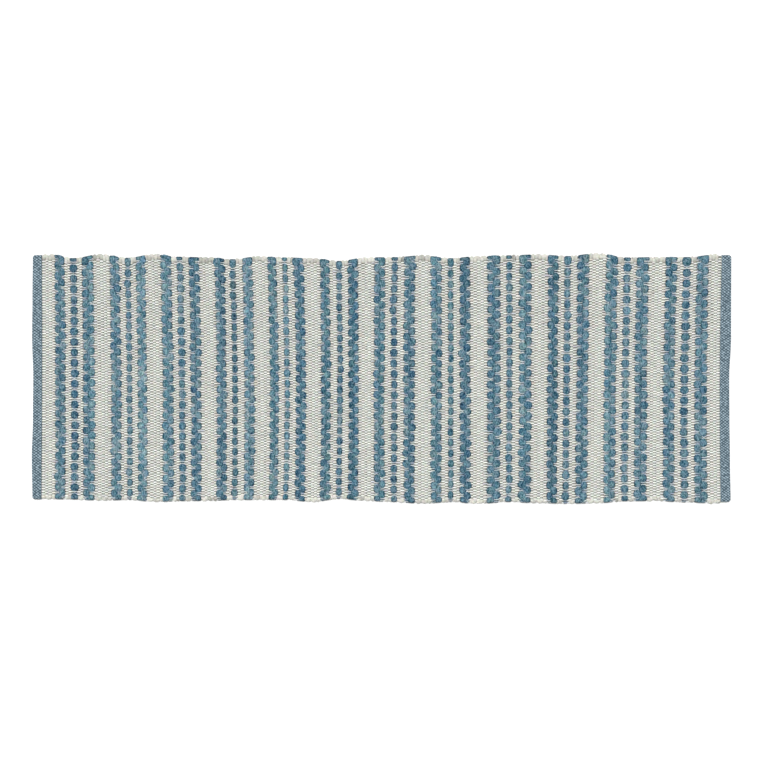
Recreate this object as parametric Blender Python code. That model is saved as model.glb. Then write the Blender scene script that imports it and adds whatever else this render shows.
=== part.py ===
"""Rag rug, about 200 x 70 cm, woven in a raised pebble weave.

One woven body carries the rug: a pale cotton ground crossed by twelve groups of blue rag picks.
A cotton tape is folded round each cut end.  X runs along the rug, Y across it and Z up, and the
rug lies flat on z = 0.  The tables are in millimetres and the solids in metres.
"""

from collections import namedtuple
from math import cos, pi, sin, sqrt

import bmesh
import bpy

MM = 0.001

# ---------------------------------------------------------------------------
# Driving sizes, in millimetres
# ---------------------------------------------------------------------------

# Each group of rag picks is a double stripe, a single stripe and a second double stripe.
#   middle        x of the single stripe
#   left, right   x of the two doubles, counted from the single
#   ..._wide      width of each stripe
#   lean          how far the group slants: +lean at the far edge, -lean at the near edge
#   bow           how far both edges run ahead of the middle
# The cloth slants and bows a little at each tape too.
Group = namedtuple("Group", "middle left right left_wide single_wide right_wide lean bow")
GROUPS = (
    Group(-878, -40, 41, 28, 18, 33, -2, -2),
    Group(-721, -38, 37, 28, 14, 25, -3, -3),
    Group(-571, -40, 40, 30, 16, 29, -4, -3),
    Group(-420, -38, 41, 27, 14, 28, -3, -4),
    Group(-272, -36, 40, 24, 14, 27, -2, -6),
    Group(-120, -40, 40, 26, 14, 28, 0, -3),
    Group(36, -42, 44, 30, 15, 30, 1, 2),
    Group(198, -41, 41, 29, 14, 29, 0, -1),
    Group(365, -44, 46, 37, 15, 33, 1, -1),
    Group(529, -40, 45, 28, 17, 33, 3, 0),
    Group(698, -44, 44, 33, 18, 34, 4, 2),
    Group(867, -44, 47, 31, 19, 35, 4, 4),
)

# Distance of the two long edges from the centre line, at each group and at the plain band after it.
Edge = namedtuple("Edge", "far near far_after near_after")
EDGES = (
    Edge(346, 345, 357, 348),
    Edge(347, 346, 357, 352),
    Edge(350, 349, 348, 349),
    Edge(343, 346, 351, 346),
    Edge(348, 346, 346, 352),
    Edge(338, 343, 348, 349),
    Edge(349, 352, 354, 357),
    Edge(346, 352, 352, 357),
    Edge(354, 352, 357, 355),
    Edge(352, 357, 360, 356),
    Edge(348, 350, 349, 349),
    Edge(349, 353, 357, 356),
)
FIRST_BAND = Edge(356, 344, 356, 344)
HALF_WIDTH = 350

# Picks of the pale ground in each plain stretch.
END_BAND_PICKS = 4
BAND_PICKS = 5
INNER_PICKS = 2

# Heights over the floor.
GROUND_VALLEY = 6.8
GROUND_CREST = 8.4
RAG_VALLEY = 7.8
RAG_SHOULDER = 9.6
RAG_CREST = 10.6

# Long edges: every second gap between picks is bridged by a turning pick.
EDGE_ROUNDING = 3.5
TURN_BULGE = 1.6
TURN_DIP = 1.8

# The weave is pressed thinner inside the folded tapes.
PRESSED_UNDERSIDE = 1.5
PRESSED_TOP = 6.5
LEFT_END = -988.5
RIGHT_END = 987.5

# Folded tapes.
TAPE_THICK = 1.2
TAPE_HEIGHT = 8.0
TAPE_CORNER = 6.0
LEFT_TAPE_EDGE, LEFT_TAPE_LEAN, LEFT_TAPE_BOW = -970.5, 0.6, -1.4
RIGHT_TAPE_EDGE, RIGHT_TAPE_LEAN, RIGHT_TAPE_BOW = 968.5, 1.5, 4.0
TAPE_GAP = 0.5
FIT_GAP = 0.3

# Fold line of each tape at even steps from the near end to the far end.
Fold = namedtuple("Fold", "near_end far_end line")
LEFT_FOLD = Fold(-344.5, 354.5, (-998.1, -999.8, -996.6, -995.7, -998.9, -997.9, -996.8))
RIGHT_FOLD = Fold(-352.0, 354.5, (998.3, 996.5, 995.0, 994.4, 999.6, 999.9, 1000.4))
FOLD_STATIONS = 26


# ---------------------------------------------------------------------------
# Small helpers
# ---------------------------------------------------------------------------

def ease(a, b, share):
    """Go from a to b along half a cosine wave."""
    return a + (b - a) * 0.5 * (1 - cos(pi * min(max(share, 0.0), 1.0)))


def through(points, x):
    """Height at x of a smooth line through (x, height) points."""
    if x <= points[0][0]:
        return points[0][1]
    for (x0, h0), (x1, h1) in zip(points, points[1:]):
        if x <= x1:
            return ease(h0, h1, (x - x0) / (x1 - x0))
    return points[-1][1]


def material(name, colour, roughness):
    """A plain finish for one sub-part."""
    finish = bpy.data.materials.new(name)
    finish.use_nodes = True
    shader = finish.node_tree.nodes["Principled BSDF"]
    shader.inputs["Base Color"].default_value = (*colour, 1)
    shader.inputs["Roughness"].default_value = roughness
    shader.inputs["Metallic"].default_value = 0
    finish.diffuse_color = (*colour, 1)
    return finish


def loft(name, rings, finish):
    """A closed solid: the first ring as a face, extruded through all the others."""
    mesh = bpy.data.meshes.new(name)
    shape = bmesh.new()
    ring = [shape.verts.new([c * MM for c in point]) for point in rings[0]]
    face = shape.faces.new(ring)
    for step, points in enumerate(rings[1:]):
        grown = bmesh.ops.extrude_face_region(shape, geom=[face])["geom"]
        if step:
            shape.faces.remove(face)
        face = next(part for part in grown if isinstance(part, bmesh.types.BMFace))
        ends = set(face.verts)
        ring = [
            next(edge.other_vert(vert) for edge in vert.link_edges if edge.other_vert(vert) in ends)
            for vert in ring
        ]
        for vert, point in zip(ring, points):
            vert.co = [c * MM for c in point]
    bmesh.ops.recalc_face_normals(shape, faces=shape.faces)
    shape.to_mesh(mesh)
    shape.free()
    solid = bpy.data.objects.new(name, mesh)
    bpy.context.collection.objects.link(solid)
    if finish:
        mesh.materials.append(finish)
    return solid


# ---------------------------------------------------------------------------
# The weave: picks in order, and the long edges they turn on
# ---------------------------------------------------------------------------

Pick = namedtuple("Pick", "kind start end")


def spread(kind, start, end, count):
    """Share the stretch from start to end among equal picks."""
    step = (end - start) / count
    return [Pick(kind, start + step * i, start + step * (i + 1)) for i in range(count)]


def lay_picks():
    """Every pick of the rug from left to right."""
    picks = []
    at = LEFT_TAPE_EDGE + 2 * TAPE_GAP
    count = END_BAND_PICKS
    for group in GROUPS:
        stripes = (
            (group.middle + group.left, group.left_wide, 2),
            (group.middle, group.single_wide, 1),
            (group.middle + group.right, group.right_wide, 2),
        )
        for centre, wide, columns in stripes:
            picks += spread("ground", at, centre - wide / 2, count)
            picks += spread("rag", centre - wide / 2, centre + wide / 2, columns)
            at = centre + wide / 2
            count = INNER_PICKS
        count = BAND_PICKS
    picks += spread("ground", at, RIGHT_TAPE_EDGE - 2 * TAPE_GAP, END_BAND_PICKS)
    return picks


def edge_lines():
    """The far and near long edges as (x, distance from the centre line) points."""
    far = [(LEFT_TAPE_EDGE, FIRST_BAND.far), (GROUPS[0].middle - 60, FIRST_BAND.far)]
    near = [(LEFT_TAPE_EDGE, FIRST_BAND.near), (GROUPS[0].middle - 60, FIRST_BAND.near)]
    for i, (group, edge) in enumerate(zip(GROUPS, EDGES)):
        after = (group.middle + GROUPS[i + 1].middle) / 2 if i + 1 < len(GROUPS) else group.middle + 90
        far += [(group.middle, edge.far), (after, edge.far_after)]
        near += [(group.middle, edge.near), (after, edge.near_after)]
    return far, near


FAR_LINE, NEAR_LINE = edge_lines()


def slant(x, across):
    """Shift along the rug of the picks at x, for across from -1 (near edge) to 1 (far edge)."""
    leans = [(LEFT_TAPE_EDGE, LEFT_TAPE_LEAN), *((g.middle, g.lean) for g in GROUPS),
             (RIGHT_TAPE_EDGE, RIGHT_TAPE_LEAN)]
    bows = [(LEFT_TAPE_EDGE, LEFT_TAPE_BOW), *((g.middle, g.bow) for g in GROUPS),
            (RIGHT_TAPE_EDGE, RIGHT_TAPE_BOW)]
    return through(leans, x) * across + through(bows, x) * (across ** 2 - 1 / 3)


# ---------------------------------------------------------------------------
# Woven body
# ---------------------------------------------------------------------------

Station = namedtuple("Station", "x low top far near")


def free_station(x, top, far_turn, near_turn):
    """A section of the open weave at x; the turns move its long edges in or out."""
    return Station(x, 0.0, top, through(FAR_LINE, x) + far_turn, through(NEAR_LINE, x) + near_turn)


def pressed_station(x, fold):
    """A section of the weave inside a tape, clear of the tape's end walls."""
    inset = TAPE_THICK + FIT_GAP
    return Station(x, PRESSED_UNDERSIDE, PRESSED_TOP, fold.far_end - inset, -fold.near_end - inset)


def pick_stations(picks):
    """Valley and crest sections of every pick."""
    stations = []
    for i, pick in enumerate(picks):
        wide = pick.end - pick.start
        joined_far = i % 2 == 1
        both_rag = i > 0 and pick.kind == "rag" == picks[i - 1].kind
        valley = RAG_VALLEY if both_rag else GROUND_VALLEY
        far_turn = TURN_BULGE if joined_far else -TURN_DIP
        near_turn = -TURN_DIP if joined_far else TURN_BULGE
        stations.append(free_station(pick.start, valley, far_turn, near_turn))
        if pick.kind == "rag":
            for share, top in ((0.2, RAG_SHOULDER), (0.5, RAG_CREST), (0.8, RAG_SHOULDER)):
                stations.append(free_station(pick.start + wide * share, top, 0.9, 0.9))
        else:
            for share in (0.3, 0.7):
                stations.append(free_station(pick.start + wide * share, GROUND_CREST, 0.9, 0.9))
    stations.append(free_station(picks[-1].end, GROUND_VALLEY, -TURN_DIP, -TURN_DIP))
    return stations


def section(station):
    """Points round one section, from the near underside over the top to the far underside."""
    side = station.low + 0.45 * (station.top - station.low)
    near = -station.near
    far = station.far
    outline = (
        (near + EDGE_ROUNDING, station.low),
        (near, side),
        (near + EDGE_ROUNDING, station.top),
        (0.52 * near, station.top),
        (0.0, station.top),
        (0.52 * far, station.top),
        (far - EDGE_ROUNDING, station.top),
        (far, side),
        (far - EDGE_ROUNDING, station.low),
    )
    return [(station.x + slant(station.x, y / HALF_WIDTH), y, z) for y, z in outline]


def woven_body(finish):
    """The ribbed cloth with its thinner ends inside the tapes."""
    stations = [
        pressed_station(LEFT_END, LEFT_FOLD),
        pressed_station(LEFT_TAPE_EDGE + TAPE_GAP, LEFT_FOLD),
        *pick_stations(lay_picks()),
        pressed_station(RIGHT_TAPE_EDGE - TAPE_GAP, RIGHT_FOLD),
        pressed_station(RIGHT_END, RIGHT_FOLD),
    ]
    return loft("rug_body", [section(station) for station in stations], finish)


# ---------------------------------------------------------------------------
# Folded tapes
# ---------------------------------------------------------------------------

def fold_x(fold, y):
    """x of the fold line at y, before its corners are rounded."""
    steps = len(fold.line) - 1
    span = fold.far_end - fold.near_end
    points = [(fold.near_end + span * i / steps, x) for i, x in enumerate(fold.line)]
    return through(points, y)


def corner_setback(distance, radius):
    """How far a rounded corner keeps back, at a distance from the tape's end."""
    run = min(max(distance, 0.0), radius)
    return radius - sqrt(radius ** 2 - (radius - run) ** 2)


def tape_section(fold, mouth_x, y, inset):
    """One section of the tape's outer skin, or of its inside when inset by the cloth's thickness."""
    away = 1 if mouth_x > 0 else -1
    across = y / HALF_WIDTH
    top_mouth = mouth_x + slant(mouth_x, across)
    # The cloth's underside is straight from edge to edge, and so is the tape's lower lip.
    far_slant, near_slant = slant(mouth_x, 1), slant(mouth_x, -1)
    low_mouth = mouth_x + (far_slant + near_slant) / 2 + (far_slant - near_slant) / 2 * across
    from_end = min(y - fold.near_end, fold.far_end - y)
    rounding = max(0.0, 1.2 - from_end) if inset == 0 else 0.0
    low = inset + rounding
    high = TAPE_HEIGHT - inset - rounding
    radius = (high - low) / 2
    setback = corner_setback(from_end - inset, TAPE_CORNER - inset)
    tip = fold_x(fold, y) - away * (inset + setback)
    points = [(top_mouth, y, high)]
    for step in range(7):
        turn = pi / 6 * step
        points.append((tip - away * radius * (1 - sin(turn)), y, low + radius * (1 + cos(turn))))
    points.append((low_mouth, y, low))
    return points


def tape_rows(fold, inset):
    """y of the sections, closer together round the corners."""
    near = fold.near_end + inset
    far = fold.far_end - inset
    close = (0.0, 1.2, 3.0, 5.5)
    rows = [near + step for step in close]
    first = near + 12.0
    last = far - 12.0
    rows += [first + (last - first) * i / (FOLD_STATIONS - 1) for i in range(FOLD_STATIONS)]
    rows += [far - step for step in reversed(close)]
    return rows


def folded_tape(name, fold, edge_x, finish):
    """A tape folded round a cut end, its own ends turned in to close the corners."""
    away = 1 if edge_x > 0 else -1
    skin = [tape_section(fold, edge_x, y, 0.0) for y in tape_rows(fold, 0.0)]
    hollow = [tape_section(fold, edge_x - away * 2.0, y, TAPE_THICK) for y in tape_rows(fold, TAPE_THICK)]
    tape = loft(name, skin, finish)
    inside = loft(name + "_inside", hollow, None)
    cut = tape.modifiers.new("pocket", "BOOLEAN")
    cut.operation = "DIFFERENCE"
    cut.solver = "EXACT"
    cut.object = inside
    bpy.context.view_layer.objects.active = tape
    bpy.ops.object.modifier_apply(modifier=cut.name)
    bpy.data.objects.remove(inside, do_unlink=True)
    return tape


# ---------------------------------------------------------------------------
# Build
# ---------------------------------------------------------------------------

def centre_on_floor(solids):
    """Move the whole rug so the middle of its bounding box stands over the origin."""
    xs = [v.co.x for solid in solids for v in solid.data.vertices]
    ys = [v.co.y for solid in solids for v in solid.data.vertices]
    middle_x = (min(xs) + max(xs)) / 2
    middle_y = (min(ys) + max(ys)) / 2
    for solid in solids:
        for vertex in solid.data.vertices:
            vertex.co.x -= middle_x
            vertex.co.y -= middle_y


for old in list(bpy.data.objects):
    bpy.data.objects.remove(old, do_unlink=True)

cream_cotton = material("woven_cotton", (0.62, 0.62, 0.57), 0.92)
left_tape = material("twill_tape_left", (0.12, 0.19, 0.24), 0.85)
right_tape = material("twill_tape_right", (0.12, 0.19, 0.24), 0.85)

centre_on_floor([
    woven_body(cream_cotton),
    folded_tape("binding_left", LEFT_FOLD, LEFT_TAPE_EDGE, left_tape),
    folded_tape("binding_right", RIGHT_FOLD, RIGHT_TAPE_EDGE, right_tape),
])
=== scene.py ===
# %% [markdown]
# # A rag rug, strand by strand
# The real thing is a runner of about 200 x 70 cm.  Pale cotton warps run along it, and each pick
# that crosses them is either pale cotton or a folded strip of blue rag.  Where a rag passes over
# four warps it swells into a pebble, and where it dives under four it is pinched.
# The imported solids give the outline, the ribs and the two folded tapes.  They could be shown with
# a bump pattern, but the pebbles and the long pale floats are what anyone sees first, so here
# every warp and every rag is laid as its own strand.

from collections import namedtuple
from math import pi, radians

import bpy
import numpy as np
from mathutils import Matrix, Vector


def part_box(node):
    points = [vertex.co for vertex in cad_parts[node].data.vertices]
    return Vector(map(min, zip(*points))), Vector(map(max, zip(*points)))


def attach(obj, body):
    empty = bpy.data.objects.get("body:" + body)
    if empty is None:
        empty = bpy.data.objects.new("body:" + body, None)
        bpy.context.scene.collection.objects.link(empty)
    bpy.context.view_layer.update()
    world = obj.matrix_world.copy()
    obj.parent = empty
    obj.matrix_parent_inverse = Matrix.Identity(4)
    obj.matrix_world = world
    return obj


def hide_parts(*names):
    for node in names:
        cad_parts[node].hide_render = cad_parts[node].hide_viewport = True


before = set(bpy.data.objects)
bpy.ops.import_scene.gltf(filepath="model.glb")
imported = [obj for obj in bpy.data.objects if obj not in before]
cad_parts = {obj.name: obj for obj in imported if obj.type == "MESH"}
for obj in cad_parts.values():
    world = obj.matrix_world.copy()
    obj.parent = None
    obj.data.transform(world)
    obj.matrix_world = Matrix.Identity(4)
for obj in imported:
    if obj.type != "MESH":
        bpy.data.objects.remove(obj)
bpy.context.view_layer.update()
bpy.ops.object.select_all(action="DESELECT")
print("nodes:", sorted(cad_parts))

# %% [markdown]
# ## The sizes
# These are the same named sizes and tables as the solids have, in millimetres.  The picks, the
# long edges and the slant of each group follow from them, so the strands land on the solids.
# A group is a double, a single and a double stripe of rag.  Its `middle` is where the single one
# lies, and `left` and `right` say how far from there the double ones lie.  An edge says how far
# the rug reaches from its centre line, at the group's middle and half way to the next group.
# The shift between the tables and the frame is read from the solids themselves.

# %% Sizes in millimetres
MM = 0.001

Group = namedtuple("Group", "middle left right left_wide single_wide right_wide lean bow")
GROUPS = (
    Group(-878, -40, 41, 28, 18, 33, -2, -2),
    Group(-721, -38, 37, 28, 14, 25, -3, -3),
    Group(-571, -40, 40, 30, 16, 29, -4, -3),
    Group(-420, -38, 41, 27, 14, 28, -3, -4),
    Group(-272, -36, 40, 24, 14, 27, -2, -6),
    Group(-120, -40, 40, 26, 14, 28, 0, -3),
    Group(36, -42, 44, 30, 15, 30, 1, 2),
    Group(198, -41, 41, 29, 14, 29, 0, -1),
    Group(365, -44, 46, 37, 15, 33, 1, -1),
    Group(529, -40, 45, 28, 17, 33, 3, 0),
    Group(698, -44, 44, 33, 18, 34, 4, 2),
    Group(867, -44, 47, 31, 19, 35, 4, 4),
)
Edge = namedtuple("Edge", "far near far_after near_after")
EDGES = (
    Edge(346, 345, 357, 348), Edge(347, 346, 357, 352), Edge(350, 349, 348, 349),
    Edge(343, 346, 351, 346), Edge(348, 346, 346, 352), Edge(338, 343, 348, 349),
    Edge(349, 352, 354, 357), Edge(346, 352, 352, 357), Edge(354, 352, 357, 355),
    Edge(352, 357, 360, 356), Edge(348, 350, 349, 349), Edge(349, 353, 357, 356),
)
FIRST_BAND = Edge(356, 344, 356, 344)
FIRST_BAND_WIDE, LAST_BAND_WIDE = 60, 90       # how far a band's edge reaches from a group's middle
HALF_WIDTH = 350
END_BAND_PICKS, BAND_PICKS = 4, 5

LEFT_END, RIGHT_END = -988.5, 987.5
LEFT_TAPE_EDGE, LEFT_TAPE_LEAN, LEFT_TAPE_BOW = -970.5, 0.6, -1.4
RIGHT_TAPE_EDGE, RIGHT_TAPE_LEAN, RIGHT_TAPE_BOW = 968.5, 1.5, 4.0
TAPE_THICK, TAPE_HEIGHT, TAPE_CORNER, TAPE_GAP = 1.2, 8.0, 6.0, 0.5
Fold = namedtuple("Fold", "near_end far_end line")
LEFT_FOLD = Fold(-344.5, 354.5, (-998.1, -999.8, -996.6, -995.7, -998.9, -997.9, -996.8))
RIGHT_FOLD = Fold(-352.0, 354.5, (998.3, 996.5, 995.0, 994.4, 999.6, 999.9, 1000.4))

SHIFT_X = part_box("binding_left")[0].x / MM - min(LEFT_FOLD.line)
SHIFT_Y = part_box("binding_left")[0].y / MM - LEFT_FOLD.near_end
print(f"tables to frame: {SHIFT_X:.2f}, {SHIFT_Y:.2f} mm")

# %% [markdown]
# ## The plan of the cloth
# A weaver plans on squared paper: warps one way, picks the other.  The same is done here.  Along
# the rug a place is counted in millimetres, and across it in repeats of the pebble pattern, from
# 0 at the far edge.  `place` turns such a place into a point of the real, slightly crooked rug.

# %% From the plan to the rug
REPEATS = 23.2           # pebbles of one rag from the far edge to the near edge
WARPS_PER_REPEAT = 8
SAG = 0.09               # repeats by which the middle of the rug has slid towards the near edge


def through(points, x):
    """Height at x of a smooth line through (x, height) points."""
    xs, heights = np.array(points, float).T
    x = np.asarray(x, float)
    i = np.clip(np.searchsorted(xs, x) - 1, 0, len(xs) - 2)
    share = np.clip((x - xs[i]) / (xs[i + 1] - xs[i]), 0, 1)
    return heights[i] + (heights[i + 1] - heights[i]) * (1 - np.cos(pi * share)) / 2


def edge_lines():
    """The far and near long edges as (x, distance from the centre line) points."""
    starts = (LEFT_TAPE_EDGE, GROUPS[0].middle - FIRST_BAND_WIDE)
    far = [(x, FIRST_BAND.far) for x in starts]
    near = [(x, FIRST_BAND.near) for x in starts]
    ends = [(g.middle + after.middle) / 2 for g, after in zip(GROUPS, GROUPS[1:])]
    ends.append(GROUPS[-1].middle + LAST_BAND_WIDE)
    for group, edge, end in zip(GROUPS, EDGES, ends):
        far += [(group.middle, edge.far), (end, edge.far_after)]
        near += [(group.middle, edge.near), (end, edge.near_after)]
    return far, near


FAR_LINE, NEAR_LINE = edge_lines()


def slant(x, across):
    """Shift along the rug of the picks at x, for across from -1 (near edge) to 1 (far edge)."""
    leans = [(LEFT_TAPE_EDGE, LEFT_TAPE_LEAN), *((g.middle, g.lean) for g in GROUPS),
             (RIGHT_TAPE_EDGE, RIGHT_TAPE_LEAN)]
    bows = [(LEFT_TAPE_EDGE, LEFT_TAPE_BOW), *((g.middle, g.bow) for g in GROUPS),
            (RIGHT_TAPE_EDGE, RIGHT_TAPE_BOW)]
    return through(leans, x) * across + through(bows, x) * (across ** 2 - 1 / 3)


def place(x, v, z):
    """Points of the rug, in millimetres, at x along it and v repeats from the far edge."""
    x, v, z = np.broadcast_arrays(x, v, z)
    far = through(FAR_LINE, x)
    v = v + SAG * np.sin(pi * v / REPEATS)
    y = far - (far + through(NEAR_LINE, x)) * v / REPEATS
    return np.stack([x + slant(x, y / HALF_WIDTH) + SHIFT_X, y + SHIFT_Y, z], axis=-1)


print("corners:", *np.round([place(x, v, 0)[:2] for x in (LEFT_END, RIGHT_END) for v in (0, REPEATS)]))

# %% The picks from left to right
UNEVEN = 0.9             # how far a pale pick was beaten in more or less than the next one
Pick = namedtuple("Pick", "kind start end shed group column")


def lay_picks():
    """Every pick.  Its shed is 0 or 1, the one of two lifts of the warps that it lies in."""
    picks = []
    at = LEFT_TAPE_EDGE + 2 * TAPE_GAP
    count = END_BAND_PICKS

    def spread(kind, start, end, sheds, group, column):
        edges = np.linspace(start, end, len(sheds) + 1)
        if kind == "ground":
            edges[1:-1] += UNEVEN * np.sin(np.arange(1, len(sheds)) * 2.4 + group * 1.7)
        for i, shed in enumerate(sheds):
            picks.append(Pick(kind, edges[i], edges[i + 1], shed, group, column + i))

    for g, group in enumerate(GROUPS):
        lift = g % 2
        stripes = (
            (group.middle + group.left, group.left_wide, (lift, 1 - lift), 0),
            (group.middle, group.single_wide, (lift,), 2),
            (group.middle + group.right, group.right_wide, (1 - lift, lift), 3),
        )
        before = [(lift + i) % 2 for i in range(count - 1, -1, -1)]
        pale = (before, (lift, 1 - lift), (1 - lift, lift))
        for (centre, wide, sheds, column), ground in zip(stripes, pale):
            spread("ground", at, centre - wide / 2, ground, g, -1)
            spread("rag", centre - wide / 2, centre + wide / 2, sheds, g, column)
            at = centre + wide / 2
        count = BAND_PICKS
    lift = len(GROUPS) % 2
    last = [(lift + i) % 2 for i in range(END_BAND_PICKS)]
    spread("ground", at, RIGHT_TAPE_EDGE - 2 * TAPE_GAP, last, len(GROUPS), -1)
    return picks


def middle_of(pick):
    """Place along the rug of a pick's middle."""
    return (pick.start + pick.end) / 2


def any_rag(*numbers):
    """Whether one of the picks with these numbers is a rag; past an end, the end pick counts."""
    return any(PICKS[min(max(i, 0), len(PICKS) - 1)].kind == "rag" for i in numbers)


PICKS = lay_picks()
RAGS = [pick for pick in PICKS if pick.kind == "rag"]
print(len(PICKS), "picks,", len(RAGS), "of them rag")

# %% [markdown]
# ## Strands as meshes
# A strand is a closed tube: rings of points, joined side by side.  Many strands share one mesh,
# because a weave has hundreds of them.  Two maps go with each mesh.  `Yarn` holds metres along
# the strand and round it, for the twist and the fibres.  `OFBake` lays all strands out flat
# beside each other, so a baked picture has a place for each.

# %% Faces of the tubes
def tube_faces(rings):
    """Side faces and end caps by point number, and whether they had to be turned outwards."""
    strands, steps, sides, _ = rings.shape
    index = np.arange(strands * steps * sides).reshape(strands, steps, sides)
    turned = np.roll(index, -1, axis=2)
    quads = np.stack([index[:, :-1], turned[:, :-1], turned[:, 1:], index[:, 1:]], axis=-1)
    quads = quads.reshape(-1, 4)
    caps = np.concatenate([index[:, 0, ::-1], index[:, -1]])
    centre = rings.mean(axis=2)
    arm, next_arm = rings[:, :1, 0] - centre[:, :1], rings[:, :1, 1] - centre[:, :1]
    forward = centre[:, 1:2] - centre[:, :1]
    inside_out = (np.cross(arm, next_arm) * forward).sum() < 0
    if inside_out:
        quads, caps = quads[:, ::-1], caps[:, ::-1]
    return quads, caps, inside_out


# %% Maps of the tubes
FIBRE_SHIFT = 0.137              # metres from one strand's fibres to the next one's
END_MARGIN = 0.002               # share of the flat map that is left free at each end
SIDE_MARGIN = 0.06               # share of a strand's row in it that is left free at each side


def tube_maps(rings):
    """Both maps at the points of the rings, each ring closed by its first point."""
    strands, _, sides, _ = rings.shape
    centre = rings.mean(axis=2)
    run = np.linalg.norm(np.diff(centre, axis=1), axis=-1)
    along = np.concatenate([np.zeros((strands, 1)), np.cumsum(run, axis=1)], axis=1) * MM
    side_lengths = np.linalg.norm(np.diff(rings, axis=2, append=rings[:, :, :1]), axis=-1)
    girth = side_lengths.sum(axis=2).mean() * MM
    along = np.repeat(along[:, :, None], sides + 1, axis=2)
    around = np.broadcast_to(np.arange(sides + 1) / sides, along.shape)
    number = np.broadcast_to(np.arange(strands)[:, None, None], along.shape)
    flat_along = END_MARGIN + (1 - 2 * END_MARGIN) * along / along.max()
    flat_across = (number + SIDE_MARGIN + (1 - 2 * SIDE_MARGIN) * around) / strands
    return {
        "Yarn": np.stack([along + number * FIBRE_SHIFT, (around + number) * girth], axis=-1),
        "OFBake": np.stack([flat_along, flat_across], axis=-1),
    }


def at_corners(field, inside_out):
    """A map's values in the order of the faces' corners."""
    a, b = field[:, :-1, :-1], field[:, :-1, 1:]
    c, d = field[:, 1:, 1:], field[:, 1:, :-1]
    sides = np.stack([a, b, c, d], axis=3).reshape(-1, 4, 2)
    caps = np.concatenate([field[:, 0, -2::-1], field[:, -1, :-1]])
    if inside_out:
        sides, caps = sides[:, ::-1], caps[:, ::-1]
    return np.concatenate([sides.reshape(-1, 2), caps.reshape(-1, 2)])


# %% A piece of many strands
def add_colours(mesh, colours):
    """A colour for each point, with values as light is added up and not as a screen shows them."""
    layer = mesh.attributes.new("dye", "FLOAT_COLOR", "POINT")
    flat = np.ones((len(mesh.vertices), 4), np.float32)
    flat[:, :3] = colours.reshape(-1, 3)
    layer.data.foreach_set("color", flat.ravel())


def strand_piece(name, rings, colours):
    """One mesh of closed tubes from points counted by strand, ring and side, in millimetres."""
    quads, caps, inside_out = tube_faces(rings)
    mesh = bpy.data.meshes.new(name)
    mesh.vertices.add(rings.size // 3)
    mesh.vertices.foreach_set("co", (rings * MM).astype(np.float32).ravel())
    mesh.loops.add(quads.size + caps.size)
    points = np.concatenate([quads.ravel(), caps.ravel()])
    mesh.loops.foreach_set("vertex_index", points.astype(np.int32))
    cap_starts = quads.size + np.arange(len(caps)) * caps.shape[1]
    starts = np.concatenate([np.arange(len(quads)) * 4, cap_starts])
    mesh.polygons.add(len(starts))
    mesh.polygons.foreach_set("loop_start", starts.astype(np.int32))
    mesh.update(calc_edges=True)
    for label, field in tube_maps(rings).items():
        layer = mesh.uv_layers.new(name=label)
        layer.uv.foreach_set("vector", at_corners(field, inside_out).astype(np.float32).ravel())
    mesh.shade_smooth()
    add_colours(mesh, np.broadcast_to(colours, rings.shape))
    piece = bpy.data.objects.new(name, mesh)
    bpy.context.scene.collection.objects.link(piece)
    mesh.calc_loop_triangles()
    print(f"{name}: {len(rings)} strands, {len(mesh.loop_triangles)} triangles")
    return piece


# %% Chance, colour and roundness
chance = np.random.default_rng(20)
Drift = namedtuple("Drift", "spacing size")    # from knot to knot of a smooth line, and its size


def wander(rows, stations, drift):
    """Smooth random lines, one a row, through knots that lie a spacing apart along the stations."""
    at = (stations - stations.min()) / drift.spacing
    knots = chance.normal(0, drift.size, (rows, int(at.max()) + 2))
    i = at.astype(int)
    share = at - i
    share = share * share * (3 - 2 * share)
    return knots[:, i] * (1 - share) + knots[:, i + 1] * share


def linear(*screen):
    """A screen colour from 0 to 255 as light."""
    c = np.array(screen, float) / 255
    return np.where(c <= 0.04045, c / 12.92, ((c + 0.055) / 1.055) ** 2.4)


def squared(wave, power):
    """A sine or cosine made squarer by a power under 1."""
    return np.sign(wave) * np.abs(wave) ** power


def sides_of(count):
    """Angles round a tube of this many sides."""
    return 2 * pi * (np.arange(count) + 0.5) / count


print("mid grey as light:", linear(128, 128, 128).round(3))

# %% [markdown]
# ## The rags
# Each rag pick is a strip of worn denim and shirting, folded lengthwise and beaten in.  It is
# modelled as a tube across the rug that swells over four warps and is squeezed under the next
# four.  The strip's folds run along it, so some sides of the tube stand out and some lie in.
# Each strip has one of eight dyes, charted by name like a weaver's list of yarns, and its tone
# drifts a little from pebble to pebble.

# %% The dyes, and which of them each group's five rags have
DYES = {
    "ink": linear(65, 98, 112),
    "deep": linear(74, 105, 121),
    "denim": linear(80, 111, 126),
    "steel": linear(86, 116, 130),
    "powder": linear(105, 132, 144),
    "mist": linear(92, 124, 136),
    "teal": linear(78, 112, 124),
    "bright": linear(76, 110, 128),
}
GROUP_DYES = (
    "steel steel deep denim mist", "steel steel steel mist powder", "mist steel denim deep steel",
    "steel deep ink powder steel", "teal steel mist deep bright", "denim teal deep ink bright",
    "steel teal deep denim deep", "mist denim teal deep deep", "denim denim denim mist denim",
    "deep ink steel deep steel", "mist steel steel steel denim", "denim steel denim steel denim",
)
print("rags of each dye:", {dye: " ".join(GROUP_DYES).split().count(dye) for dye in DYES})

# %% Where a rag has its rings
RAG_SIDES = 10
LAST_PEBBLE = 23
PEBBLE_DRAWS = 26                # random numbers drawn for a rag, enough for all its pebbles
PEBBLE_STEPS = np.array([0.0, 0.13, 0.25, 0.37, 0.5, 0.63, 0.75, 0.87])    # repeats
END_STEPS = np.array([0.013, 0.06, 0.14])


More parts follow.
